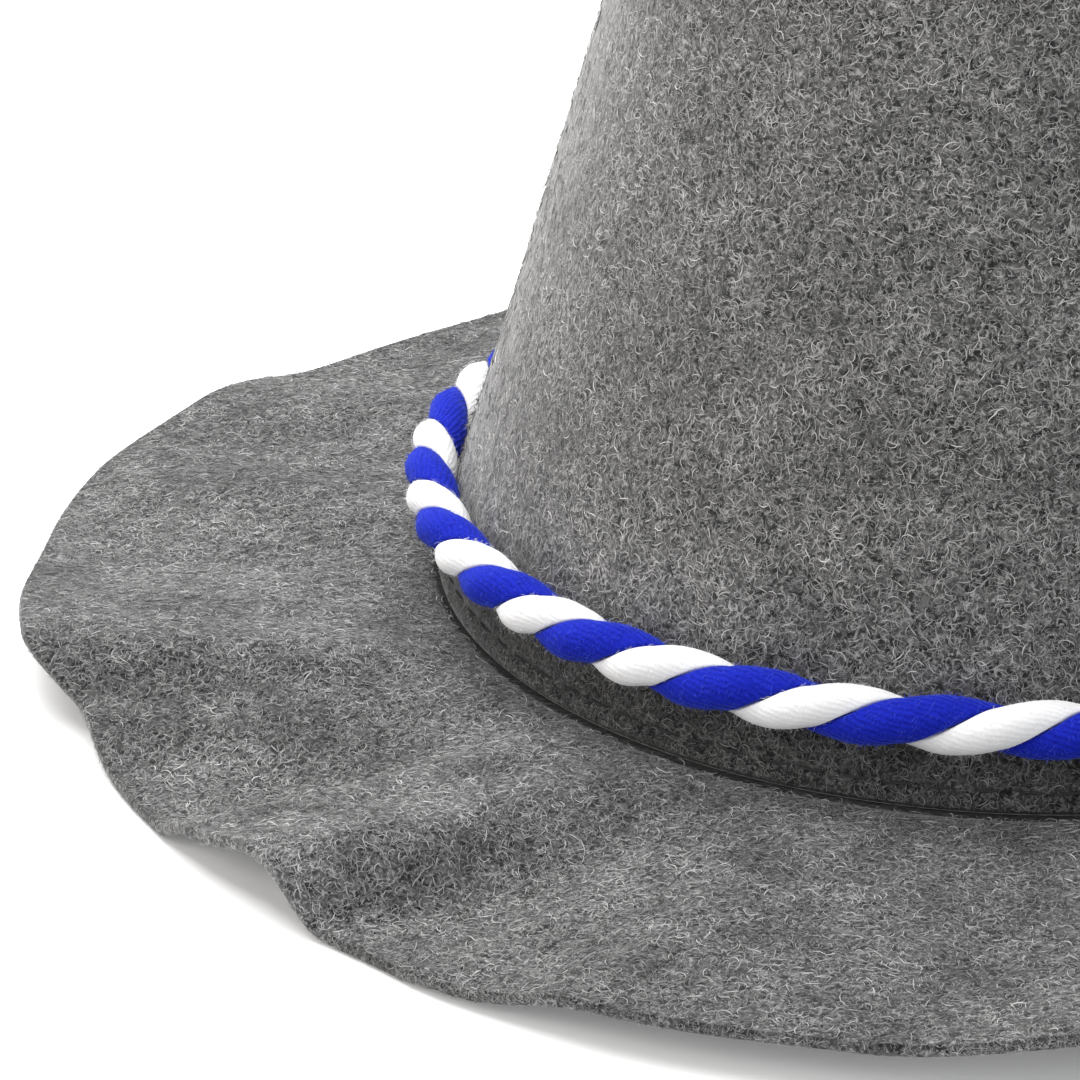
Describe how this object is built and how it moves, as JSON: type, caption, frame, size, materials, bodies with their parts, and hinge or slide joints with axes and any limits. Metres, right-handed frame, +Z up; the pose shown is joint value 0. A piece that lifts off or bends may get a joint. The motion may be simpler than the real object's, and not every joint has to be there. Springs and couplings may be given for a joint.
{
  "type": "tyrolean hat",
  "caption": "Felt hat with a tall round-topped cone crown, a wavy brim sewn on below it and a two-strand twisted cord laid round the crown's foot.",
  "frame": {"origin": "on the surface that the brim rests on, under the middle of the hat's box", "axes": "+Z up through the crown, -Y towards the front of the hat as it is pictured, +X to its right"},
  "size_m": [0.3129, 0.3096, 0.175],
  "materials": {
    "crown_felt": "matt grey wool felt",
    "brim_felt": "matt grey wool felt",
    "blue_yarn": "soft bright blue yarn",
    "white_yarn": "soft white yarn"
  },
  "bodies": {
    "root": {"crown": "crown_felt", "brim": "brim_felt", "cord_blue_strand": "blue_yarn", "cord_white_strand": "white_yarn"}
  },
  "joints": []
}
